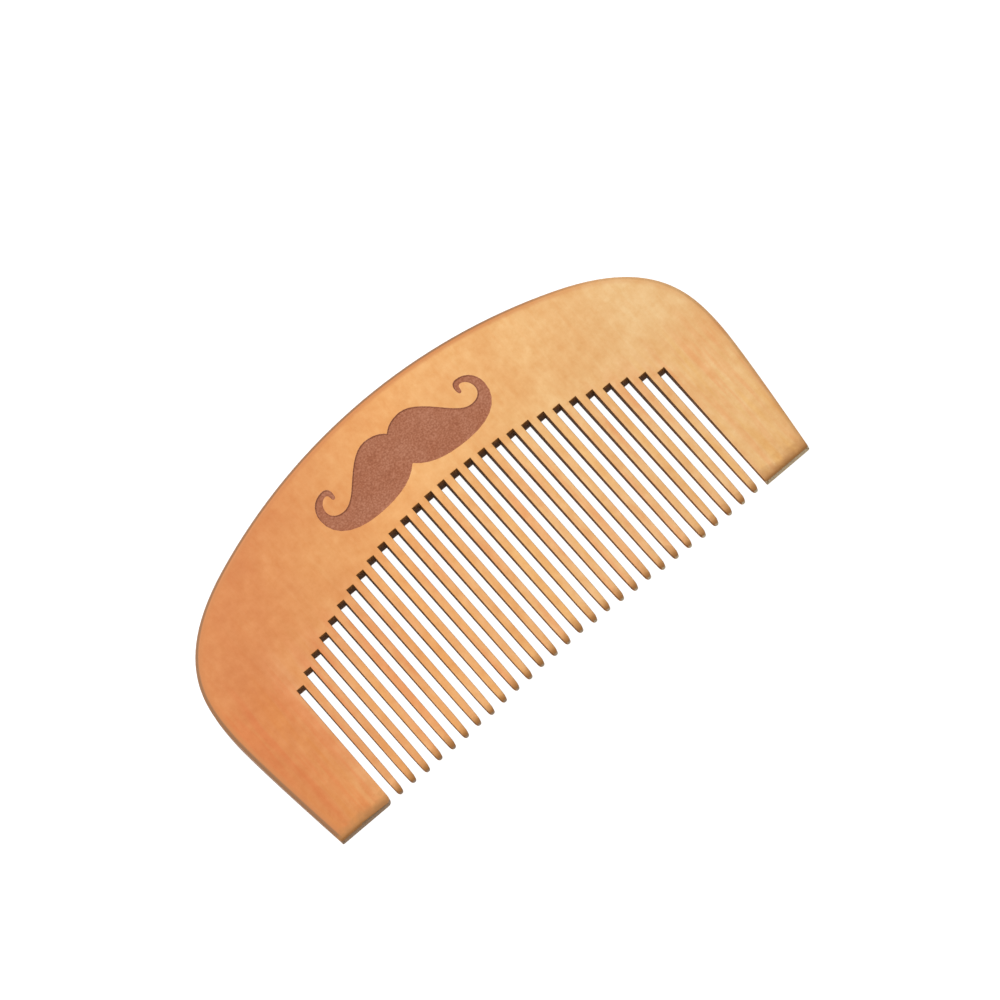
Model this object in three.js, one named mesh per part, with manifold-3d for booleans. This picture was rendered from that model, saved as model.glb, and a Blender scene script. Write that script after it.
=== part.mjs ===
// Half-moon wooden beard comb: one board of wood, tapered, sawn and sanded. It is divided here into
// the features that a comb maker names: the spine, the two end guards and the teeth between them.
//
// Units are millimetres. +X runs along the comb, +Y from the tooth tips to the arched spine, and +Z
// out of the engraved face. The comb lies on its plain back face, the plane z = 0, and the origin is
// the centre of the rectangle that the comb covers there.

import * as THREE from 'three';
import { mergeVertices } from 'three/addons/utils/BufferGeometryUtils.js';
import Module from 'manifold-3d';

const wasm = await Module();
wasm.setup();

// ---- Driving dimensions ----

const LENGTH = 120; // across the shoulders, the widest place
const DEPTH = 62.1; // from the tip line, where the guards end, to the top of the arch
const SPINE_THICKNESS = 7.2; // at the top of the arch
const TIP_THICKNESS = 2.2; // at the tip line: the board is one even wedge between the two

const ARCH_RADIUS = 111.6; // back of the comb
const ARCH_HALF_ANGLE = THREE.MathUtils.degToRad(21.5); // where the arch runs into the shoulders
const ARCH_HANDLE = 20; // pull of the shoulder curve at the arch
const SHOULDER_HANDLE = 7.7; // pull of the shoulder curve at the widest place
const WIDEST_HEIGHT = 29; // widest place, above the tip line
const SIDE_HANDLE = 5.5; // pull of the side curve at the widest place
const TIP_LINE_LENGTH = 114; // across the outer corners of the guards
const EDGE_ROUNDING = 1.2; // of the long edges at the arch; it shrinks with the thickness

const SLOT_COUNT = 29;
const SLOT_PITCH = 3.215;
const SLOT_WIDTH = 1.59; // saw kerf
const SLOT_SHIFT = 0.8; // the row of slots sits this far towards +X of the comb's centre
const SLOT_END_HEIGHT = 40.1; // end of the deepest slot on the engraved face, above the tip line
const SLOT_ARC_RADIUS = 92; // the slot ends follow this arc
const SLOT_ARC_SHIFT = 2.5; // its centre, towards +X of the comb's centre
const SLOT_UNDERCUT = 0.3; // a slot reaches this much deeper on the back face

const TOOTH_TAPER_LENGTH = 5; // stretch over which a tooth narrows to its tip
const TOOTH_TAPER_WIDTH = 1.46; // width where that stretch starts
const TOOTH_NOSE_LENGTH = 0.9; // the blunt round end of that stretch
const TOOTH_NOSE_WIDTH = 1.26; // width where the round end starts
const TAPER_FULLNESS = 0.06; // how far the taper's control point stays inside its widest half
const NOSE_FULLNESS = 0.05; // the same for the round end
const TIP_SETBACK = 0.1; // outer teeth end this far short of the tip line
const TIP_ARCH = 1.2; // the middle teeth end this much further short of it
const TIP_FILING = 0.1; // unevenness of hand-filed tips
const FILING_RHYTHM = 2.4; // radians from one tooth to the next, so that the unevenness doesn't repeat

const MOTIF_SHIFT = -0.75; // middle of the moustache, off the comb's centre
const MOTIF_HEIGHT = 49.2; // the same, above the tip line
const MOTIF_DEPTH = 0.25; // depth of the engraving

// Straight pieces that stand for each curve.
const ARCH_FACETS = 14; // half of the arch
const SHOULDER_FACETS = 18;
const SIDE_FACETS = 6;
const ROUNDING_FACETS = 4;
const MOTIF_FACETS = 6; // each curve of the moustache
const TIP_FACETS = 4; // the taper and the round end of a tooth, each

// ---- Working values ----

const TIP_LINE = -DEPTH / 2;
const TOP = DEPTH / 2;
const CLEAR = 1; // how far a cutter stands out past the board
const STUB = 0.8; // the teeth and guards start this far below the arc of the slot ends
const TOOTH_COUNT = SLOT_COUNT - 1;
const TOOTH_WIDTH = SLOT_PITCH - SLOT_WIDTH;
const SLOT_SPAN = (SLOT_COUNT - 1) * SLOT_PITCH;

const boardThickness = (y) =>
  TIP_THICKNESS + ((SPINE_THICKNESS - TIP_THICKNESS) * (y - TIP_LINE)) / DEPTH;

const slotCentre = (slot) => SLOT_SHIFT - SLOT_SPAN / 2 + slot * SLOT_PITCH;
const slotLeft = (slot) => slotCentre(slot) - SLOT_WIDTH / 2;
const slotRight = (slot) => slotCentre(slot) + SLOT_WIDTH / 2;
const slotArc = (x) =>
  TIP_LINE + SLOT_END_HEIGHT - SLOT_ARC_RADIUS + Math.sqrt(SLOT_ARC_RADIUS ** 2 - (x - SLOT_ARC_SHIFT) ** 2);
const slotEnd = (slot) => slotArc(slotCentre(slot));
const root = (x) => slotArc(x) - STUB;

const toothCentre = (tooth) => (slotCentre(tooth) + slotCentre(tooth + 1)) / 2;
const toothTip = (tooth) => {
  const across = (toothCentre(tooth) - SLOT_SHIFT) / SLOT_SPAN;
  const arch = TIP_ARCH * Math.cos(Math.PI * across) ** 4;
  return TIP_LINE + TIP_SETBACK + arch + TIP_FILING * Math.sin(FILING_RHYTHM * tooth);
};

const guardLeftEdge = slotLeft(0);
const guardRightEdge = slotRight(SLOT_COUNT - 1);

// ---- Materials ----

const wood = new THREE.MeshStandardMaterial({ color: 0xe6a96a, roughness: 0.55, metalness: 0 });
const paleWood = new THREE.MeshStandardMaterial({ color: 0xecb878, roughness: 0.55, metalness: 0 });

// ---- Solids ----

function solidOf(geometry) {
  const bare = geometry.clone();
  bare.deleteAttribute('normal');
  bare.deleteAttribute('uv');
  const merged = mergeVertices(bare, 1e-4);
  const vertProperties = new Float32Array(merged.attributes.position.array);
  const triVerts = new Uint32Array(merged.index.array);
  return new wasm.Manifold(new wasm.Mesh({ numProp: 3, vertProperties, triVerts }));
}

function geometryOf(solid) {
  const mesh = solid.getMesh();
  const geometry = new THREE.BufferGeometry();
  geometry.setAttribute('position', new THREE.BufferAttribute(new Float32Array(mesh.vertProperties), 3));
  geometry.setIndex(Array.from(mesh.triVerts));
  geometry.computeVertexNormals();
  return geometry;
}

// Extrudes an outline by one unit and then sets each point's height: low(y) below and high(y) above.
function plate(outline, low, high) {
  const geometry = new THREE.ExtrudeGeometry(new THREE.Shape(outline), { depth: 1, bevelEnabled: false });
  const points = geometry.attributes.position;
  for (let i = 0; i < points.count; i++) {
    const height = points.getZ(i) > 0.5 ? high : low;
    points.setZ(i, height(points.getY(i)));
  }
  return geometry;
}

function block(x0, x1, y0, y1) {
  const height = SPINE_THICKNESS + 2 * CLEAR;
  const box = new THREE.BoxGeometry(x1 - x0, y1 - y0, height);
  box.translate((x0 + x1) / 2, (y0 + y1) / 2, height / 2 - CLEAR);
  return box;
}

// ---- The board before it is sawn ----

// One half of the outline, from the top of the arch to the outer corner of the guard.
function halfOutline() {
  const widest = new THREE.Vector2(LENGTH / 2, TIP_LINE + WIDEST_HEIGHT);
  const corner = new THREE.Vector2(TIP_LINE_LENGTH / 2, TIP_LINE);
  const quarter = Math.PI / 2;
  const arch = new THREE.EllipseCurve(
    0, TOP - ARCH_RADIUS, ARCH_RADIUS, ARCH_RADIUS, quarter, quarter - ARCH_HALF_ANGLE, true);
  const archEnd = arch.getPoint(1);
  const along = new THREE.Vector2(Math.cos(ARCH_HALF_ANGLE), -Math.sin(ARCH_HALF_ANGLE));
  const shoulder = new THREE.CubicBezierCurve(
    archEnd,
    archEnd.clone().addScaledVector(along, ARCH_HANDLE),
    new THREE.Vector2(widest.x, widest.y + SHOULDER_HANDLE),
    widest);
  const side = new THREE.QuadraticBezierCurve(
    widest, new THREE.Vector2(widest.x, widest.y - SIDE_HANDLE), corner);
  return [
    ...arch.getPoints(ARCH_FACETS),
    ...shoulder.getPoints(SHOULDER_FACETS).slice(1),
    ...side.getPoints(SIDE_FACETS).slice(1),
  ];
}

// The same half, moved inwards by a share of the edge rounding at each place.
function insetHalf(half, share) {
  const last = half.length - 1;
  return half.map((point, i) => {
    const before = i === 0 ? new THREE.Vector2(-half[1].x, half[1].y) : half[i - 1];
    const after = half[Math.min(i + 1, last)];
    const direction = after.clone().sub(before).normalize();
    const inset = share * EDGE_ROUNDING * (boardThickness(point.y) / SPINE_THICKNESS);
    const inward = new THREE.Vector2(direction.y, -direction.x);
    const moved = point.clone().addScaledVector(inward, inset);
    return i === last ? new THREE.Vector2(point.x - inset, TIP_LINE) : moved;
  });
}

// A loft of closed rings, from the back face over the rounded edge to the engraved face.
function boardGeometry() {
  const half = halfOutline();
  const last = half.length - 1;
  const rings = [];
  for (const above of [false, true]) {
    for (let step = 0; step <= ROUNDING_FACETS; step++) {
      const turn = (Math.PI / 2) * (step / ROUNDING_FACETS);
      const share = above ? 1 - Math.cos(turn) : 1 - Math.sin(turn);
      const rise = above ? 1 - Math.sin(turn) : 1 - Math.cos(turn);
      const right = insetHalf(half, share);
      const left = right.map((point) => new THREE.Vector2(-point.x, point.y));
      rings.push([...left, ...right.slice(1).reverse()].map((point) => {
        const thickness = boardThickness(point.y);
        const lift = rise * EDGE_ROUNDING * (thickness / SPINE_THICKNESS);
        return new THREE.Vector3(point.x, point.y, above ? thickness - lift : lift);
      }));
    }
  }

  const count = 2 * last + 1;
  const positions = rings.flat().flatMap((point) => [point.x, point.y, point.z]);
  const index = [];
  for (let ring = 0; ring + 1 < rings.length; ring++) {
    for (let i = 0; i < count; i++) {
      const a = ring * count + i;
      const b = ring * count + ((i + 1) % count);
      index.push(a, b, b + count, a, b + count, a + count);
    }
  }
  const capOf = (ring) => THREE.ShapeUtils.triangulateShape(ring.map((p) => new THREE.Vector2(p.x, p.y)), []);
  const topStart = (rings.length - 1) * count;
  for (const [a, b, c] of capOf(rings[0])) index.push(c, b, a);
  for (const [a, b, c] of capOf(rings.at(-1))) index.push(topStart + a, topStart + b, topStart + c);

  const geometry = new THREE.BufferGeometry();
  geometry.setAttribute('position', new THREE.Float32BufferAttribute(positions, 3));
  geometry.setIndex(index);
  return geometry;
}

// ---- What is cut out of it ----

// Everything below the spine: the slots, the teeth and the guards, as one stepped outline.
function belowSpine() {
  const outside = LENGTH / 2 + CLEAR;
  const floor = TIP_LINE - CLEAR;
  const outline = [new THREE.Vector2(-outside, floor), new THREE.Vector2(-outside, root(guardLeftEdge))];
  for (let slot = 0; slot < SLOT_COUNT; slot++) {
    outline.push(new THREE.Vector2(slotLeft(slot), root(slotLeft(slot))));
    outline.push(new THREE.Vector2(slotLeft(slot), slotEnd(slot)));
    outline.push(new THREE.Vector2(slotRight(slot), slotEnd(slot)));
    outline.push(new THREE.Vector2(slotRight(slot), root(slotRight(slot))));
  }
  outline.push(new THREE.Vector2(outside, root(guardRightEdge)), new THREE.Vector2(outside, floor));
  return undercutSlotEnds(plate(outline.reverse(), () => -CLEAR, () => SPINE_THICKNESS + CLEAR));
}

// Tips each slot's end wall, so that the slot is SLOT_UNDERCUT deeper on the back face.
function undercutSlotEnds(geometry) {
  const points = geometry.attributes.position;
  const ends = Array.from({ length: SLOT_COUNT }, (_, slot) => slotEnd(slot));
  for (let i = 0; i < points.count; i++) {
    const y = points.getY(i);
    const end = ends.find((value) => Math.abs(value - y) < 1e-4);
    if (end !== undefined) {
      const share = 1 - points.getZ(i) / boardThickness(end);
      points.setY(i, end + SLOT_UNDERCUT * share);
    }
  }
  return geometry;
}

// A plain handlebar moustache: the right half as curves, and its mirror image.
function moustache() {
  const at = (x, y) => new THREE.Vector2(MOTIF_SHIFT + x, TIP_LINE + MOTIF_HEIGHT + y);
  const curves = [
    new THREE.CubicBezierCurve(at(0, 4.6), at(1.2, 5.9), at(2.8, 6.25), at(4.3, 6.25)), // lobe
    new THREE.CubicBezierCurve(at(4.3, 6.25), at(6.6, 6.25), at(8.8, 4.1), at(11.5, 1.2)), // slope
    new THREE.CubicBezierCurve(at(11.5, 1.2), at(13.2, -0.6), at(14.4, -1.5), at(15.8, -1.5)), // dip
    new THREE.CubicBezierCurve(at(15.8, -1.5), at(17.3, -1.5), at(18.3, -0.6), at(18.3, 0.6)), // curl
    new THREE.CubicBezierCurve(at(18.3, 0.6), at(18.3, 1.8), at(17.6, 2.7), at(16.7, 2.9)),
    new THREE.CubicBezierCurve(at(16.7, 2.9), at(16, 3.05), at(15.95, 2.4), at(15.9, 1.8)), // its end
    new THREE.CubicBezierCurve(at(15.9, 1.8), at(15.75, 1.3), at(15.2, 1.3), at(15.1, 1.9)),
    new THREE.CubicBezierCurve(at(15.1, 1.9), at(14.8, 3.3), at(15.4, 4.1), at(16.3, 4.1)),
    new THREE.CubicBezierCurve(at(16.3, 4.1), at(18.6, 4.1), at(20.2, 2.3), at(20.2, 0)), // outer side
    new THREE.CubicBezierCurve(at(20.2, 0), at(20.2, -3.9), at(16.8, -6.3), at(11, -6.3)),
    new THREE.CubicBezierCurve(at(11, -6.3), at(6, -6.3), at(2.4, -5.4), at(0, -2.9)), // lower edge
  ];
  const right = curves.flatMap((curve) => curve.getPoints(MOTIF_FACETS).slice(0, -1));
  const bottom = at(0, -2.9);
  const left = right.slice(1).reverse().map((point) => new THREE.Vector2(2 * MOTIF_SHIFT - point.x, point.y));
  return [...right, bottom, ...left];
}

const engraving = () =>
  plate(moustache(), (y) => boardThickness(y) - MOTIF_DEPTH, (y) => boardThickness(y) + CLEAR);

// ---- The named features ----

const board = solidOf(boardGeometry());

function spine() {
  return geometryOf(board.subtract(solidOf(belowSpine())).subtract(solidOf(engraving())));
}

function guard(side) {
  const outside = LENGTH / 2 + CLEAR;
  const floor = TIP_LINE - CLEAR;
  const keep = side === 'left'
    ? block(-outside, guardLeftEdge, floor, root(guardLeftEdge))
    : block(guardRightEdge, outside, floor, root(guardRightEdge));
  return geometryOf(board.intersect(solidOf(keep)));
}

// One tooth about its own centre line: straight from the root, then a slim taper and a round nose.
function tooth(number) {
  const centre = toothCentre(number);
  const tip = toothTip(number);
  const rootHalf = TOOTH_WIDTH / 2;
  const taperHalf = TOOTH_TAPER_WIDTH / 2;
  const noseHalf = TOOTH_NOSE_WIDTH / 2;
  const taper = new THREE.QuadraticBezierCurve(
    new THREE.Vector2(taperHalf, tip + TOOTH_TAPER_LENGTH),
    new THREE.Vector2(taperHalf - TAPER_FULLNESS, tip + TOOTH_TAPER_LENGTH / 2),
    new THREE.Vector2(noseHalf, tip + TOOTH_NOSE_LENGTH));
  const nose = new THREE.QuadraticBezierCurve(
    new THREE.Vector2(noseHalf, tip + TOOTH_NOSE_LENGTH),
    new THREE.Vector2(noseHalf - NOSE_FULLNESS, tip),
    new THREE.Vector2(0, tip));
  const right = [...taper.getPoints(TIP_FACETS), ...nose.getPoints(TIP_FACETS).slice(1)];
  const left = right.slice(0, -1).reverse().map((point) => new THREE.Vector2(-point.x, point.y));
  const rightRoot = new THREE.Vector2(rootHalf, root(centre + rootHalf));
  const leftRoot = new THREE.Vector2(-rootHalf, root(centre - rootHalf));
  return plate([rightRoot, ...right, ...left, leftRoot], () => 0, boardThickness);
}

const group = new THREE.Group();

function add(name, geometry, material, x = 0) {
  const mesh = new THREE.Mesh(geometry, material);
  mesh.name = name;
  mesh.position.x = x;
  group.add(mesh);
}

add('spine', spine(), wood);
add('guard_left', guard('left'), wood);
add('guard_right', guard('right'), wood);
for (let number = 0; number < TOOTH_COUNT; number++) {
  add(`tooth_${String(number + 1).padStart(2, '0')}`, tooth(number), paleWood, toothCentre(number));
}

export default group;
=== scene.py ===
import functools
import math

import bmesh
import bpy
from mathutils import Matrix, Vector


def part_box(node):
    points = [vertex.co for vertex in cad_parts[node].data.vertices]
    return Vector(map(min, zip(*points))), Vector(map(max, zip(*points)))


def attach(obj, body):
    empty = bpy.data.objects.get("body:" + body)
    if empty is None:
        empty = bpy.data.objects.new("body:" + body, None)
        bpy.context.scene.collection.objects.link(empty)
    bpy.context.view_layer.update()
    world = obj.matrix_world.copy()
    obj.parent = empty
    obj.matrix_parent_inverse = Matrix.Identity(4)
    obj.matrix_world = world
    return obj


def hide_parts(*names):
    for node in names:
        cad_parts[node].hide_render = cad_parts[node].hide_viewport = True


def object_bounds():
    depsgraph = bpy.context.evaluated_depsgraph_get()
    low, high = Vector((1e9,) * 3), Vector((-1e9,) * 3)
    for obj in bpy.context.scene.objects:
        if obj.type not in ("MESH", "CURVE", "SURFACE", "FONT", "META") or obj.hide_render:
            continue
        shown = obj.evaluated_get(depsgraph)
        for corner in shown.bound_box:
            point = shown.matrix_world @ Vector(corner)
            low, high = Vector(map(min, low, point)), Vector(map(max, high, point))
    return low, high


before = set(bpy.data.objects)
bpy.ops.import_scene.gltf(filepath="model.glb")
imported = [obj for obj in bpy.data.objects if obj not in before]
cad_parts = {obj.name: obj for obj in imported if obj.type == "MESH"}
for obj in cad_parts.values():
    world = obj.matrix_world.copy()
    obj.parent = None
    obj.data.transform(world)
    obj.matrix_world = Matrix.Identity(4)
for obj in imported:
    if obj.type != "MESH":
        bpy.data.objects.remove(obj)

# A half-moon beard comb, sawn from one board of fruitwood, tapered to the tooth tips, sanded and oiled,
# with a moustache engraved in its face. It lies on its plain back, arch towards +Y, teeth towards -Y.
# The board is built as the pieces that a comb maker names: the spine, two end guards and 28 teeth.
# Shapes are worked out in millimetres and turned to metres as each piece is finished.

cad_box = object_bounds()

# ---- Sizes, in millimetres ----

MM = 0.001
BODY = "root"


def cad(node):
    """Lowest and highest corner of a CAD node, in millimetres."""
    return [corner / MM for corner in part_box(node)]


GUARD_LEFT = cad("guard_left")
GUARD_RIGHT = cad("guard_right")
TEETH = [cad(f"tooth_{n:02d}") for n in range(1, 29)]
TIP_LINE = GUARD_LEFT[0].y
TOP = cad_box[1].y / MM
DEPTH = TOP - TIP_LINE
HALF_LENGTH = cad_box[1].x / MM

SPINE_THICKNESS = 7.2  # at the top of the arch
TIP_THICKNESS = 2.2  # at the tip line: the board is one even wedge between the two
ARCH_RADIUS = 111.6
ARCH_HALF_ANGLE = math.radians(21.5)  # where the arch runs into the shoulders
ARCH_HANDLE = 20.0
SHOULDER_HANDLE = 7.7
WIDEST_HEIGHT = 29.0  # above the tip line
SIDE_HANDLE = 5.5
HALF_TIP_LINE = 57.0
ARCH_STEPS, SHOULDER_STEPS, SIDE_STEPS = 16, 26, 12  # straight steps along half of the outline
EDGE_ROUNDING = 1.2  # of the long edges at the arch; it shrinks with the thickness
ROUNDING_MARGIN = 0.1  # band inside the outline, and the reach of the distance from the rim that places the painted shade on the rounded edge
RIM_BAND = 5.0  # band inside the outline where sanding and handling show
MIN_STEP = 0.3  # least spacing of the outline's points where the board is divided

SLOT_END_HEIGHT = 40.1  # end of the deepest slot on the engraved face, above the tip line
SLOT_ARC_RADIUS = 92.0
SLOT_ARC_SHIFT = 2.5
SLOT_UNDERCUT = 0.3  # a slot reaches this much deeper on the back
STUB = 0.8  # the teeth and guards start this far below the arc of the slot ends
ARRIS = 0.18  # softened edges of slots and teeth
SLOT_MARGIN = 0.1  # the saw cuts' zone reaches this far past the outer walls of the slots

END_CHAMFER = 0.6  # filed front edge of the guard ends
END_SOFTENING = 0.12
END_TOLERANCE = 0.005  # points this close to the tip line are on the guard's end
END_MIDDLE = 0.6 * TIP_THICKNESS  # edges above this height are the upper ones of the end
END_GRAIN_REACH = 0.6  # an end face is end grain this far up from the tip
INNER_CORNER = 1.0  # the left guard's inner corner is rounded off

# Handles of a tooth's taper and of its round end: half of its width, and the height above the tip.
TOOTH_TAPER = [(0.73, 5), (0.69, 2.5), (0.63, 0.9)]
TOOTH_NOSE = [(0.63, 0.9), (0.56, 0), (0, 0)]
TAPER_STEPS, NOSE_STEPS = 6, 8
TIP_END = (0.06, 0)  # the last section, in place of a point
NOSE_START = 2.0  # a tooth thins over this much of its end
NOSE_THINNING = 0.45

MOTIF_SHIFT = -0.75  # middle of the moustache, off the comb's centre
MOTIF_HEIGHT = 49.2  # the same, above the tip line
CURVE_STEPS = 7  # straight steps along each of its curves
# Each step of the engraving's wall: how far in, and how far down.
MOTIF_WALL = [(0.06, 0.02), (0.05, 0.06), (0.04, 0.09), (0.05, 0.06), (0.08, 0.02)]

# How faces and edges are told apart, by the parts of a face's normal.
STEEP = 0.5
FACING_TIP = -0.7
LEVEL = 0.9
SHARP_ANGLE = math.radians(50)

# ---- Outline ----


def bezier(handles, steps):
    """Points of a Bezier curve of any degree, without its first one."""
    points = []
    for i in range(1, steps + 1):
        row = [Vector(h) for h in handles]
        while len(row) > 1:
            row = [a.lerp(b, i / steps) for a, b in zip(row, row[1:])]
        points.append(row[0])
    return points


def half_outline():
    """From the top of the arch to the outer corner of the right guard."""
    centre = Vector((0, TOP - ARCH_RADIUS))
    turns = [ARCH_HALF_ANGLE * i / ARCH_STEPS for i in range(ARCH_STEPS + 1)]
    arch = [centre + ARCH_RADIUS * Vector((math.sin(a), math.cos(a))) for a in turns]
    along = Vector((math.cos(ARCH_HALF_ANGLE), -math.sin(ARCH_HALF_ANGLE)))
    widest = Vector((HALF_LENGTH, TIP_LINE + WIDEST_HEIGHT))
    shoulder = [
        arch[-1],
        arch[-1] + ARCH_HANDLE * along,
        widest + Vector((0, SHOULDER_HANDLE)),
        widest,
    ]
    side = [widest, widest - Vector((0, SIDE_HANDLE)), (HALF_TIP_LINE, TIP_LINE)]
    return arch + bezier(shoulder, SHOULDER_STEPS) + bezier(side, SIDE_STEPS)


def split(points, y):
    """The part of a falling line of points above y and the part below. Both have a point at y, in
    place of any that is too close to it."""
    i = next(i for i, p in enumerate(points) if p.y < y)
    a, b = points[i - 1], points[i]
    at = a.lerp(b, (a.y - y) / (a.y - b.y))
    above = [p for p in points if p.y > y + MIN_STEP]
    below = [p for p in points if p.y < y - MIN_STEP]
    return above + [at], [at] + below


def mirrored(points):
    return [Vector((-p.x, p.y)) for p in points]


HALF = half_outline()
LEFT_ABOVE, LEFT_BELOW = [mirrored(part) for part in split(HALF, GUARD_LEFT[1].y)]
RIGHT_ABOVE, RIGHT_BELOW = split(HALF, GUARD_RIGHT[1].y)
OUTLINE = LEFT_BELOW[::-1] + LEFT_ABOVE[-2::-1] + RIGHT_ABOVE[1:] + RIGHT_BELOW[1:]


def thickness(y):
    return TIP_THICKNESS + (SPINE_THICKNESS - TIP_THICKNESS) * (y - TIP_LINE) / DEPTH


def slot_arc(x):
    rise = math.sqrt(SLOT_ARC_RADIUS**2 - (x - SLOT_ARC_SHIFT) ** 2)
    return TIP_LINE + SLOT_END_HEIGHT - SLOT_ARC_RADIUS + rise


def root(x):
    return slot_arc(x) - STUB


def nearest(point):
    """Nearest point of the outline, in plan."""
    best = None
    for a, b in zip(OUTLINE, OUTLINE[1:]):
        t = (point - a).dot(b - a) / (b - a).length_squared
        foot = a.lerp(b, min(1, max(0, t)))
        if best is None or (point - foot).length_squared < (point - best).length_squared:
            best = foot
    return best


# ---- Slabs: the spine and the guards ----


def plan_key(v):
    return (round(v[0], 3), round(v[1], 3))


def bevel(bm, edges, offset, segments):
    return bmesh.ops.bevel(
        bm, geom=edges, offset=offset, offset_type="OFFSET", segments=segments, profile=0.5,
        affect="EDGES", clamp_overlap=False, material=-1,
    )["faces"]


def level_edges(bm, keys, chosen):
    """Edges that lie level between two of these plan points and that chosen() accepts."""
    found = []
    for e in bm.edges:
        a, b = e.verts
        ka, kb = plan_key(a.co), plan_key(b.co)
        if ka != kb and ka in keys and kb in keys and abs(a.co.z - b.co.z) < 0.01 and chosen(ka, kb):
            found.append(e)
    return found


def slab(outer, inner, sawn, ends=()):
    """A piece of the tapered board: outer is its part of the outline, inner the rest of its plan.
    sawn(a, b) says which inner edges are saw cuts, and ends lists the corners of the slot ends."""
    bm = bmesh.new()
    rim = [bm.verts.new((p.x, p.y, 0)) for p in outer]
    rim_edges = [bm.edges.new(pair) for pair in zip(rim, rim[1:])]
    place = {plan_key(p): i for i, p in enumerate(outer)}
    made = bmesh.ops.extrude_edge_only(bm, edges=rim_edges)["geom"]
    band = [None] * len(outer)
    for v in (g for g in made if isinstance(g, bmesh.types.BMVert)):
        band[place[plan_key(v.co)]] = v
    for i, v in enumerate(band):
        p = outer[i]
        if 0 < i < len(outer) - 1:
            way = (outer[i + 1] - outer[i - 1]).orthogonal().normalized()
            way = way if way.dot(p) < 0 else -way
        else:
            way = Vector((-math.copysign(1, p.x), 0))
        v.co.x, v.co.y = p + RIM_BAND * way
    rest = [bm.verts.new((p[0], p[1], 0)) for p in inner]
    bm.faces.new(band + rest)
    raised = bmesh.ops.extrude_face_region(bm, geom=bm.faces[:])["geom"]
    raised = [g for g in raised if isinstance(g, bmesh.types.BMVert)]
    bmesh.ops.translate(bm, vec=(0, 0, SPINE_THICKNESS), verts=raised)
    bmesh.ops.recalc_face_normals(bm, faces=bm.faces[:])

    bevel(bm, level_edges(bm, set(place), lambda a, b: True), EDGE_ROUNDING, 6)
    cuts = level_edges(bm, {plan_key(p) for p in inner}, sawn)
    for v in bm.verts:
        if plan_key(v.co) in ends and v.co.z < 0.01:
            v.co.y += SLOT_UNDERCUT
        share = thickness(v.co.y) / SPINE_THICKNESS
        plan = v.co.xy
        foot = nearest(plan)
        if (plan - foot).length < EDGE_ROUNDING + ROUNDING_MARGIN:
            v.co.x, v.co.y = foot + (plan - foot) * share
        v.co.z *= share
    bevel(bm, cuts, ARRIS, 2)
    return bm


def finish(bm, name, node, tip):
    """Marks faces and edges, turns millimetres to metres and makes the object for a CAD node. Every
    steep face between the outer walls of the first and the last slot counts as a saw cut."""
    bm.normal_update()
    tip_layer = bm.verts.layers.float.new("tip_distance")
    rim_layer = bm.verts.layers.float.new("rim")
    for v in bm.verts:
        v[tip_layer] = v.co.y - tip
        v[rim_layer] = min(RIM_BAND, (v.co.xy - nearest(v.co.xy)).length)
    slot_zone = (GUARD_LEFT[1].x - SLOT_MARGIN, GUARD_RIGHT[0].x + SLOT_MARGIN)
    for f in bm.faces:
        middle = f.calc_center_median()
        if f.material_index == SANDED and abs(f.normal.z) < STEEP:
            if f.normal.y < FACING_TIP and middle.y < tip + END_GRAIN_REACH:
                f.material_index = END_GRAIN
            elif slot_zone[0] < middle.x < slot_zone[1]:
                f.material_index = SAWN
        f.smooth = True
    for e in bm.edges:
        e.smooth = len(e.link_faces) == 2 and e.calc_face_angle(0) < SHARP_ANGLE
    bmesh.ops.scale(bm, vec=(MM, MM, MM), verts=bm.verts[:])
    mesh = bpy.data.meshes.new(name)
    bm.to_mesh(mesh)
    bm.free()
    for material in MATERIALS:
        mesh.materials.append(material)
    piece = bpy.data.objects.new(name, mesh)
    bpy.context.scene.collection.objects.link(piece)
    shading = piece.modifiers.new("even shading", "WEIGHTED_NORMAL")
    shading.keep_sharp = True
    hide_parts(node)
    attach(piece, BODY)
    return piece


def spine():
    walls = [GUARD_LEFT[1].x] + [c.x for tooth in TEETH for c in tooth] + [GUARD_RIGHT[0].x]
    inner, ends = [], []
    for left, right in reversed(list(zip(walls[::2], walls[1::2]))):
        end = slot_arc((left + right) / 2)
        ends += [plan_key((left, end)), plan_key((right, end))]
        inner += [(right, root(right)), (right, end), (left, end), (left, root(left))]
    bm = slab(
        LEFT_ABOVE[::-1] + RIGHT_ABOVE[1:], inner, lambda a, b: a in ends or b in ends, ends
    )
    engrave(bm)
    finish(bm, "comb_spine", "spine", TIP_LINE)


def guard(name, node, outer, inner, wall):
    bm = slab(outer, inner, lambda a, b: a[0] == b[0] == plan_key((wall, 0))[0])
    for high, offset in ((True, END_CHAMFER), (False, END_SOFTENING)):
        end_edges = [
            e for e in bm.edges
            if all(v.co.y < TIP_LINE + END_TOLERANCE for v in e.verts)
            and any(f.normal.y > -LEVEL for f in e.link_faces)
            and (sum(v.co.z for v in e.verts) / 2 > END_MIDDLE) == high
        ]
        bevel(bm, end_edges, offset, 3)
    finish(bm, name, node, TIP_LINE)


def guards():
    x, seam = GUARD_LEFT[1].x, GUARD_LEFT[1].y
    corner = Vector((x - INNER_CORNER, TIP_LINE + INNER_CORNER))
    turn = [
        corner + INNER_CORNER * Vector((math.sin(a), -math.cos(a)))
        for a in (math.pi / 2 * i / 5 for i in range(6))
    ]
    guard("comb_guard_left", "guard_left", LEFT_BELOW, turn + [(x, seam)], x)
    x, seam = GUARD_RIGHT[0].x, GUARD_RIGHT[1].y
    guard("comb_guard_right", "guard_right", RIGHT_BELOW, [(x, TIP_LINE), (x, seam)], x)


# ---- Engraving ----

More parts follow.
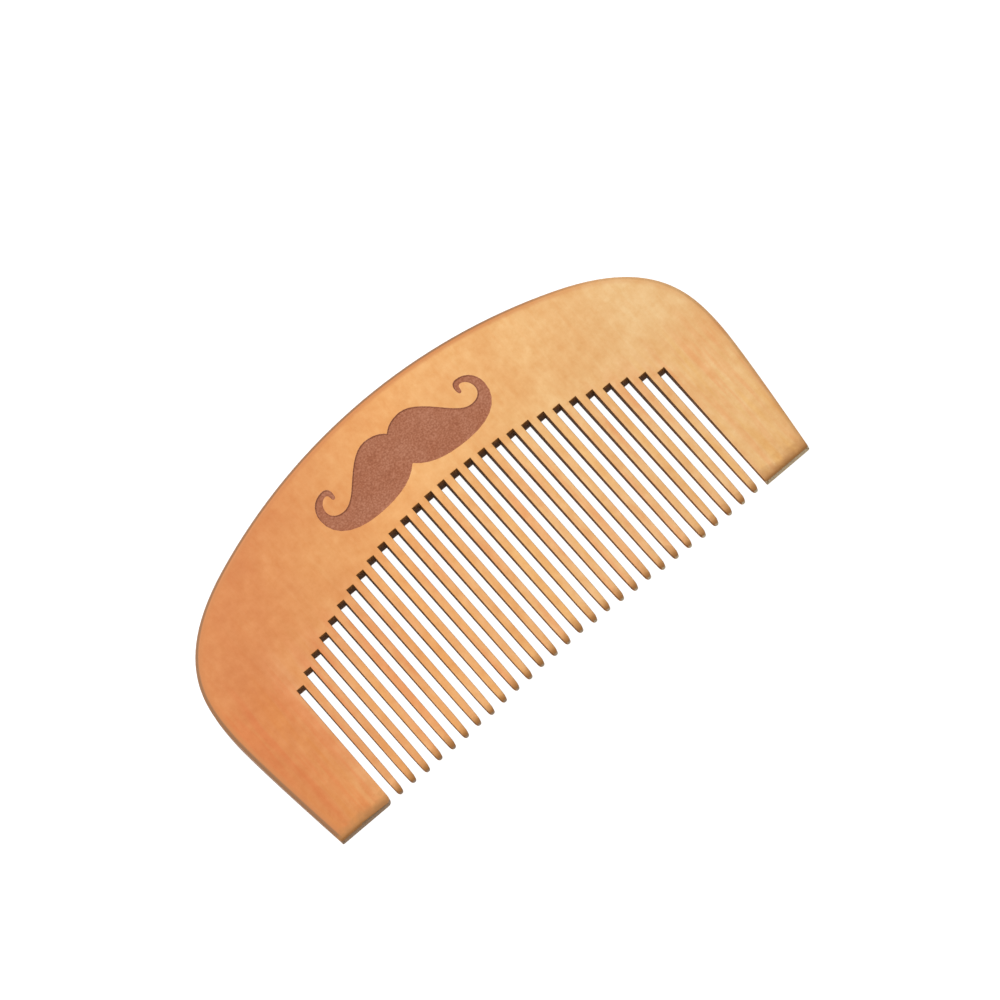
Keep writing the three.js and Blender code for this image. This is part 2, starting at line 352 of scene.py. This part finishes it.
MOTIF = [  # right half of the moustache, about its middle: curve after curve, from the top dip
    [(0, 4.6), (1.2, 5.9), (2.8, 6.25), (4.3, 6.25)],
    [(4.3, 6.25), (6.6, 6.25), (8.8, 4.1), (11.5, 1.2)],
    [(11.5, 1.2), (13.2, -0.6), (14.4, -1.5), (15.8, -1.5)],
    [(15.8, -1.5), (17.3, -1.5), (18.3, -0.6), (18.3, 0.6)],
    [(18.3, 0.6), (18.3, 1.8), (17.6, 2.7), (16.7, 2.9)],
    [(16.7, 2.9), (16, 3.05), (15.95, 2.4), (15.9, 1.8)],
    [(15.9, 1.8), (15.75, 1.3), (15.2, 1.3), (15.1, 1.9)],
    [(15.1, 1.9), (14.8, 3.3), (15.4, 4.1), (16.3, 4.1)],
    [(16.3, 4.1), (18.6, 4.1), (20.2, 2.3), (20.2, 0)],
    [(20.2, 0), (20.2, -3.9), (16.8, -6.3), (11, -6.3)],
    [(11, -6.3), (6, -6.3), (2.4, -5.4), (0, -2.9)],
]


def engrave(bm):
    """Opens the front face round the moustache and sinks its floor."""
    right = [p for curve in MOTIF for p in bezier(curve, CURVE_STEPS)]
    left = mirrored(right[-2::-1])
    loop = right + left + [Vector(MOTIF[0][0])]
    front = max(bm.faces, key=lambda f: f.calc_area() * (f.normal.z > LEVEL))
    border = list(front.edges)
    normal = front.normal.copy()
    bmesh.ops.delete(bm, geom=[front], context="FACES_ONLY")
    verts = []
    for p in loop:
        y = TIP_LINE + MOTIF_HEIGHT + p.y
        verts.append(bm.verts.new((MOTIF_SHIFT + p.x, y, thickness(y))))
    ring = [bm.edges.new(pair) for pair in zip(verts, verts[1:] + verts[:1])]
    bmesh.ops.triangle_fill(
        bm, use_beauty=True, use_dissolve=False, edges=border + ring, normal=normal
    )
    floor = bm.faces.new(verts)
    floor.normal_update()
    if floor.normal.z < 0:
        floor.normal_flip()
    before = set(bm.faces)
    for inset, down in MOTIF_WALL:
        bmesh.ops.inset_region(
            bm, faces=[floor], thickness=inset, depth=-down, use_even_offset=True,
            use_boundary=True,
        )
    for f in bm.faces:
        if f not in before or f is floor:
            f.material_index = ENGRAVED


# ---- Teeth ----


def tooth(number):
    """A tooth drawn out of its cross-section, from the root down to the filed tip."""
    low, high = TEETH[number - 1]
    tip, x, half = low.y, (low.x + high.x) / 2, (high.x - low.x) / 2
    deep = thickness(root(x))
    bm = bmesh.new()
    upright = Matrix.Rotation(math.pi / 2, 4, "X")
    bmesh.ops.create_grid(bm, x_segments=1, y_segments=1, size=1, matrix=upright)
    bmesh.ops.scale(bm, vec=(half, 1, deep / 2), verts=bm.verts[:])
    bmesh.ops.translate(bm, vec=(x, 0, deep / 2), verts=bm.verts[:])
    bmesh.ops.bevel(
        bm, geom=bm.verts[:], offset=ARRIS, offset_type="OFFSET", segments=2, profile=0.5,
        affect="VERTICES", clamp_overlap=False, material=-1,
    )
    face = bm.faces[:][0]
    section = [
        (v.co.copy(), v.co.x - x, v.co.z - deep / 2) for v in face.verts
    ]  # where the point is now, and how far it is across and up from the middle

    def settle(face, half_width, way_down, thin):
        soft = min(1, half_width / half)
        for v in face.verts:
            i = min(range(len(section)), key=lambda i: (section[i][0] - v.co).length)
            _, across, up = section[i]
            v.co.x = x + math.copysign(half_width - (half - abs(across)) * soft, across)
            v.co.y = way_down(v.co.x)
            middle = thickness(v.co.y) / 2
            v.co.z = middle + math.copysign(middle * thin - (deep / 2 - abs(up)) * soft, up)
            section[i] = (v.co.copy(), across, up)

    settle(face, half, root, 1)
    shaft = bezier(TOOTH_TAPER, TAPER_STEPS)
    nose = bezier(TOOTH_NOSE, NOSE_STEPS)
    for half_width, above in [TOOTH_TAPER[0], *shaft, *nose[:-1], TIP_END]:
        made = bmesh.ops.extrude_face_region(bm, geom=[face])["geom"]
        face = next(g for g in made if isinstance(g, bmesh.types.BMFace))
        short = min(1, above / NOSE_START)
        thin = 1 - NOSE_THINNING * (1 - math.sqrt(1 - (1 - short) ** 2))
        settle(face, half_width, lambda _: tip + above, thin)
    bmesh.ops.recalc_face_normals(bm, faces=bm.faces[:])
    finish(bm, f"comb_tooth_{number:02d}", f"tooth_{number:02d}", tip)


# ---- Materials ----


def srgb(code):
    """Linear colour of an sRGB hex value."""
    parts = [int(code[i : i + 2], 16) / 255 for i in (0, 2, 4)]
    return (*[c / 12.92 if c <= 0.04045 else ((c + 0.055) / 1.055) ** 2.4 for c in parts], 1)


def per_mm(x, y, z):
    """Scale at which a pattern one unit across measures x by y by z millimetres."""
    return (1 / (MM * x), 1 / (MM * y), 1 / (MM * z))


def add(tree, kind, inputs, stops=(), **settings):
    """Adds a node with its settings, links its inputs or sets them, and places the stops of a ramp,
    each a position and a hex colour. Hands back the output that carries the result."""
    made = tree.nodes.new(kind)
    for name, value in settings.items():
        setattr(made, name, value)
    for name, value in inputs.items():
        if isinstance(value, bpy.types.NodeSocket):
            tree.links.new(value, made.inputs[name])
        else:
            made.inputs[name].default_value = value
    while stops and len(made.color_ramp.elements) < len(stops):
        made.color_ramp.elements.new(1)
    for i, (position, colour) in enumerate(stops):
        made.color_ramp.elements[i].position = position
        made.color_ramp.elements[i].color = srgb(colour)
    return next(socket for socket in made.outputs if socket.enabled)


def begin(name):
    """A material with its shader, a way to add nodes to it, and its Object coordinates."""
    material = bpy.data.materials.new(name)
    material.use_nodes = True
    new = functools.partial(add, material.node_tree)
    shader = material.node_tree.nodes["Principled BSDF"]
    shader.inputs["IOR"].default_value = 1.45
    where = new("ShaderNodeTexCoord", {}).node.outputs["Object"]
    return material, new, shader, where


def connect(material, shader, colour, roughness, height, strength, relief):
    """Finishes a material: its colour, its roughness and a relief of so many millimetres."""
    links = material.node_tree.links
    links.new(colour, shader.inputs["Base Color"])
    if isinstance(roughness, bpy.types.NodeSocket):
        links.new(roughness, shader.inputs["Roughness"])
    else:
        shader.inputs["Roughness"].default_value = roughness
    bump = add(
        material.node_tree, "ShaderNodeBump",
        {"Height": height, "Strength": strength, "Distance": relief * MM},
    )
    links.new(bump, shader.inputs["Normal"])


def sanded_wood():
    """Pear wood, sanded and oiled: an even, close-grained satin surface, redder towards one end of the
    board and darker there partly as painted shade, cloudy where the oil sank in, painted with orange and
    grey-brown shade on the rounded edge of the arch, and scorched by the sanding belt at the tooth tips
    and guard ends."""
    material, new, shader, where = begin("oiled sanded pear wood")
    shader.inputs["Specular IOR Level"].default_value = 0.3
    apart = new("ShaderNodeSeparateXYZ", {"Vector": where}).node

    # The heartwood side, towards -X, is redder than the sapwood side, and darker, mostly by its wood and
    # partly as painted shade.
    spot = new("ShaderNodeMapping", {"Vector": where, "Scale": per_mm(16, 22, 22)})
    drift = new("ShaderNodeTexNoise", {"Vector": spot, "Scale": 1, "Detail": 3, "Roughness": 0.55})
    drift = new("ShaderNodeMath", {0: drift, 1: 0.5}, operation="SUBTRACT")
    along = new(
        "ShaderNodeMapRange",
        {"Value": apart.outputs["X"], "From Min": -HALF_LENGTH * MM, "From Max": HALF_LENGTH * MM},
    )
    along = new("ShaderNodeMath", {0: drift, 1: 0.1, 2: along}, operation="MULTIPLY_ADD")
    # The border between the two slants a little.
    along = new(
        "ShaderNodeMath", {0: apart.outputs["Y"], 1: -0.005 / MM, 2: along}, operation="MULTIPLY_ADD"
    )
    base = new("ShaderNodeValToRGB", {"Fac": along}, stops=HEART_TO_SAP_WITH_PAINTED_SHADE)

    # The teeth, thinned by more sanding, are paler than the guards beside them.
    low = new(
        "ShaderNodeMapRange",
        {"Value": apart.outputs["Y"], "From Min": 8 * MM, "From Max": -4 * MM, "To Max": 0.28},
        interpolation_type="SMOOTHSTEP",
    )
    off = new("ShaderNodeMath", {0: apart.outputs["X"]}, operation="ABSOLUTE")
    inside = new("ShaderNodeMapRange", {"Value": off, "From Min": 49 * MM, "From Max": 45 * MM})
    pale = new("ShaderNodeMath", {0: low, 1: inside}, operation="MULTIPLY")
    base = new("ShaderNodeMix", {0: pale, 6: base, 7: srgb("f3cca2")}, data_type="RGBA")

    # Single growth rings run out lengthwise below, so that one tooth is pinker and the next yellower.
    spot = new("ShaderNodeMapping", {"Vector": where, "Scale": per_mm(1.9, 24, 8)})
    rings = new("ShaderNodeTexNoise", {"Vector": spot, "Scale": 1, "Detail": 2})
    tint = new(
        "ShaderNodeValToRGB", {"Fac": rings},
        stops=[(0.36, "ffe8dc"), (0.5, "fffaf4"), (0.64, "fff5dc")],
    )
    share = new("ShaderNodeMath", {0: low, 1: 3.2}, operation="MULTIPLY")
    base = new(
        "ShaderNodeMix", {0: share, 6: base, 7: tint}, data_type="RGBA", blend_type="MULTIPLY"
    )

    # Clouds about 8 mm across, mottling of 2 mm in them, and faint streaks 9 mm long.
    spot = new("ShaderNodeMapping", {"Vector": where, "Scale": per_mm(8, 9, 8)})
    clouds = new("ShaderNodeTexNoise", {"Vector": spot, "Scale": 1, "Detail": 3, "Roughness": 0.5})
    spot = new("ShaderNodeMapping", {"Vector": where, "Scale": per_mm(2.2, 2.6, 2)})
    mottle = new("ShaderNodeTexNoise", {"Vector": spot, "Scale": 1, "Detail": 4, "Roughness": 0.7})
    spot = new("ShaderNodeMapping", {"Vector": where, "Scale": per_mm(0.8, 9, 2)})
    streaks = new("ShaderNodeTexNoise", {"Vector": spot, "Scale": 1, "Detail": 3, "Roughness": 0.6})
    for pattern, dark in ((clouds, "f6eadc"), (mottle, "f3e6d4"), (streaks, "fdf6ef")):
        tint = new(
            "ShaderNodeValToRGB", {"Fac": pattern}, stops=[(0.3, dark), (0.7, "ffffff")]
        )
        base = new(
            "ShaderNodeMix", {0: 1.0, 6: base, 7: tint}, data_type="RGBA", blend_type="MULTIPLY"
        )

    # The rounded edge: a painted orange shade band and a fine painted grey-brown shade line, where the
    # rounding turns from the light. Both fade on the sapwood side. The outer wall is all at the rim, so
    # both cover it.
    rim = new("ShaderNodeAttribute", {}, attribute_name="rim").node.outputs["Fac"]
    painted_edge_shade_fade = new(
        "ShaderNodeMapRange",
        {
            "Value": apart.outputs["X"], "From Min": 20 * MM, "From Max": 56 * MM,
            "To Min": 1, "To Max": 0.25,
        },
        interpolation_type="SMOOTHSTEP",
    )
    for colour, start, end, most in (("cc824a", 0.9, 1.9, 0.9), ("8a6648", 0.5, 0.9, 0.85)):
        share = new(
            "ShaderNodeMapRange",
            {"Value": rim, "From Min": start, "From Max": end, "To Min": most, "To Max": 0},
            interpolation_type="SMOOTHSTEP",
        )
        share = new("ShaderNodeMath", {0: share, 1: painted_edge_shade_fade}, operation="MULTIPLY")
        base = new("ShaderNodeMix", {0: share, 6: base, 7: srgb(colour)}, data_type="RGBA")

    # Scorching: blotches that reach 1 to 3 mm up from the ends, darkest at the very end.
    tip = new("ShaderNodeAttribute", {}, attribute_name="tip_distance").node.outputs["Fac"]
    spot = new("ShaderNodeMapping", {"Vector": where, "Scale": per_mm(1.6, 1.6, 1.6)})
    patches = new("ShaderNodeTexNoise", {"Vector": spot, "Scale": 1, "Detail": 3})
    reach = new("ShaderNodeMath", {0: patches, 1: 6.0, 2: 0}, operation="MULTIPLY_ADD")
    for colour, most in (("b47c44", 0.9), ("86562a", 0.5)):
        burn = new(
            "ShaderNodeMapRange",
            {"Value": tip, "From Min": 0.1, "From Max": reach, "To Min": most, "To Max": 0},
            interpolation_type="SMOOTHSTEP",
        )
        base = new("ShaderNodeMix", {0: burn, 6: base, 7: srgb(colour)}, data_type="RGBA")
        reach = new("ShaderNodeMath", {0: reach, 1: 0.4}, operation="MULTIPLY")

    roughness = new(
        "ShaderNodeMapRange",
        {"Value": clouds, "From Min": 0.3, "From Max": 0.7, "To Min": 0.48, "To Max": 0.6},
    )
    height = new("ShaderNodeMath", {0: mottle, 1: streaks}, operation="ADD")
    connect(material, shader, base, roughness, height, 0.15, 0.05)
    return material


def sawn_wood():
    """The same wood in the saw cuts: dark brown, partly scorched by the blade and partly painted shade
    of the narrow slots, matt, with fine saw marks.
    """
    material, new, shader, where = begin("scorched sawn pear wood with painted shade")
    shader.inputs["Specular IOR Level"].default_value = 0.15
    spot = new("ShaderNodeMapping", {"Vector": where, "Scale": per_mm(0.8, 0.5, 2)})
    marks = new("ShaderNodeTexNoise", {"Vector": spot, "Scale": 1, "Detail": 3})
    # Saw marks in dark brown: scorch from the blade, darkened further as painted shade.
    base = new(
        "ShaderNodeValToRGB", {"Fac": marks},
        stops=[(0.3, "6a4020"), (0.5, "8a5a2e"), (0.72, "a4703e")],
    )
    # Painted light: the closed ends of the slots, which face the tips, are painted a lighter, warmer
    # brown than their long walls, chosen by which way each wall faces.
    normal = new("ShaderNodeNewGeometry", {}).node.outputs["Normal"]
    facing = new("ShaderNodeSeparateXYZ", {"Vector": normal}).node.outputs["Y"]
    end = new(
        "ShaderNodeMapRange",
        {"Value": facing, "From Min": -0.3, "From Max": -0.8, "To Min": 0, "To Max": 0.7},
    )
    base = new("ShaderNodeMix", {0: end, 6: base, 7: srgb("a86a20")}, data_type="RGBA")
    # Painted shade: they darken towards the back, most of all near the closed ends, for the shade deep
    # in the narrow slots.
    apart = new("ShaderNodeSeparateXYZ", {"Vector": where}).node
    most = new(
        "ShaderNodeMapRange",
        {"Value": apart.outputs["Y"], "From Min": -22 * MM, "From Max": 4 * MM, "To Max": 0.75},
    )
    painted_slot_depth_shade = new(
        "ShaderNodeMapRange",
        {"Value": apart.outputs["Z"], "From Min": 4.5 * MM, "From Max": MM, "To Max": most},
        interpolation_type="SMOOTHSTEP",
    )
    base = new("ShaderNodeMix", {0: painted_slot_depth_shade, 6: base, 7: srgb("3a2008")}, data_type="RGBA")
    connect(material, shader, base, 0.8, marks, 0.4, 0.05)
    return material


def engraved_wood():
    """The laser-engraved moustache: reddish brown, matt and finely grained where the beam charred it."""
    material, new, shader, where = begin("laser engraved pear wood")
    shader.inputs["Specular IOR Level"].default_value = 0.3
    spot = new("ShaderNodeMapping", {"Vector": where, "Scale": per_mm(0.35, 0.35, 0.35)})
    specks = new("ShaderNodeTexNoise", {"Vector": spot, "Scale": 1, "Detail": 2})
    base = new(
        "ShaderNodeValToRGB", {"Fac": specks},
        stops=[(0.3, "9a6046"), (0.5, "aa6e52"), (0.7, "ba8066")],
    )
    spot = new("ShaderNodeMapping", {"Vector": where, "Scale": per_mm(5, 5, 5)})
    broad = new("ShaderNodeTexNoise", {"Vector": spot, "Scale": 1, "Detail": 3})
    tint = new("ShaderNodeValToRGB", {"Fac": broad}, stops=[(0.32, "f0e2d6"), (0.68, "ffffff")])
    base = new(
        "ShaderNodeMix", {0: 1.0, 6: base, 7: tint}, data_type="RGBA", blend_type="MULTIPLY"
    )
    connect(material, shader, base, 0.85, specks, 0.4, 0.06)
    return material


def end_grain():
    """Pear end grain at the filed guard ends and tooth tips: pale greyish tan, dry and matt."""
    material, new, shader, where = begin("filed end grain")
    spot = new("ShaderNodeMapping", {"Vector": where, "Scale": per_mm(0.5, 0.5, 0.3)})
    dots = new("ShaderNodeTexNoise", {"Vector": spot, "Scale": 1, "Detail": 2})
    base = new(
        "ShaderNodeValToRGB", {"Fac": dots},
        stops=[(0.3, "8f7a5a"), (0.5, "a8916d"), (0.7, "bca883")],
    )
    # The end on the heartwood side is browned all over.
    side = new("ShaderNodeSeparateXYZ", {"Vector": where}).node.outputs["X"]
    brown = new(
        "ShaderNodeMapRange",
        {"Value": side, "From Min": 30 * MM, "From Max": -30 * MM, "To Max": 0.75},
    )
    base = new("ShaderNodeMix", {0: brown, 6: base, 7: srgb("7a5434")}, data_type="RGBA")
    connect(material, shader, base, 0.75, dots, 0.3, 0.05)
    return material


# Colour of the board from its heartwood end, at -X, to its sapwood end, with some painted shade
# darkening the -X end.
HEART_TO_SAP_WITH_PAINTED_SHADE = [(0.1, "dc945b"), (0.24, "e3a366"), (0.38, "f0b676"), (0.62, "f0c286"), (0.86, "efcb95")]

SANDED, SAWN, ENGRAVED, END_GRAIN = range(4)
MATERIALS = [sanded_wood(), sawn_wood(), engraved_wood(), end_grain()]

# ---- The comb ----

spine()
guards()
for number in range(1, len(TEETH) + 1):
    tooth(number)

# ---- Camera ----

VIEW_ROLL = math.radians(41.77)
VIEW_TILT = math.radians(-17.43)  # towards the tooth tips
VIEW_TURN = math.radians(5.24)  # towards the left guard
VIEW_DISTANCE = 1.286
VIEW_SHIFT = (0.00584, 0.00401)  # of the comb's middle from the middle of the view
LOOKED_AT = (0, 0, 0.004)
LENS, SENSOR = 247.9, 36
NEAREST_SEEN = 0.05

camera_data = bpy.data.cameras.new("camera")
camera_data.lens = LENS
camera_data.sensor_width = SENSOR
camera_data.clip_start = NEAREST_SEEN
camera = bpy.data.objects.new("camera", camera_data)
bpy.context.scene.collection.objects.link(camera)
turned = (
    Matrix.Rotation(VIEW_ROLL, 3, "Z")
    @ Matrix.Rotation(VIEW_TILT, 3, "X")
    @ Matrix.Rotation(VIEW_TURN, 3, "Y")
).transposed()
camera.matrix_world = (
    Matrix.Translation(Vector(LOOKED_AT) + turned @ Vector((*VIEW_SHIFT, VIEW_DISTANCE)))
    @ turned.to_4x4()
)
bpy.context.scene.camera = camera

# ---- Floor and light ----

FLOOR_HALF = 3
FLOOR_GAP = 0.05 * MM  # below the comb, so that the two don't share a plane

floor_mesh = bpy.data.meshes.new("floor")
ground = bmesh.new()
bmesh.ops.create_grid(ground, x_segments=1, y_segments=1, size=FLOOR_HALF)
bmesh.ops.translate(ground, vec=(0, 0, -FLOOR_GAP), verts=ground.verts[:])
ground.to_mesh(floor_mesh)
ground.free()
floor = bpy.data.objects.new("floor", floor_mesh)
bpy.context.scene.collection.objects.link(floor)

# White acrylic lit from below, as on a product table: pale, with next to no shadow.
acrylic, _, acrylic_shader, _ = begin("backlit white acrylic")
acrylic_shader.inputs["Base Color"].default_value = srgb("808080")
acrylic_shader.inputs["Roughness"].default_value = 0.9
acrylic_shader.inputs["Specular IOR Level"].default_value = 0
acrylic_shader.inputs["Emission Color"].default_value = srgb("ffffff")
acrylic_shader.inputs["Emission Strength"].default_value = 1.0
floor_mesh.materials.append(acrylic)

world = bpy.data.worlds.new("studio")
world.use_nodes = True
world.node_tree.nodes["Background"].inputs["Color"].default_value = srgb("ffffff")
world.node_tree.nodes["Background"].inputs["Strength"].default_value = 0.5
bpy.context.scene.world = world
bpy.context.scene.view_settings.view_transform = "Standard"


def softbox(name, place, size, power):
    """A square soft light that faces the comb."""
    data = bpy.data.lights.new(name, "AREA")
    data.shape = "SQUARE"
    data.size = size
    data.energy = power
    light = bpy.data.objects.new(name, data)
    light.location = place
    light.rotation_mode = "QUATERNION"
    light.rotation_quaternion = (-Vector(place)).to_track_quat("-Z", "Y")
    bpy.context.scene.collection.objects.link(light)


softbox("key softbox", (-0.15, 0.3, 0.62), 0.4, 3.7)
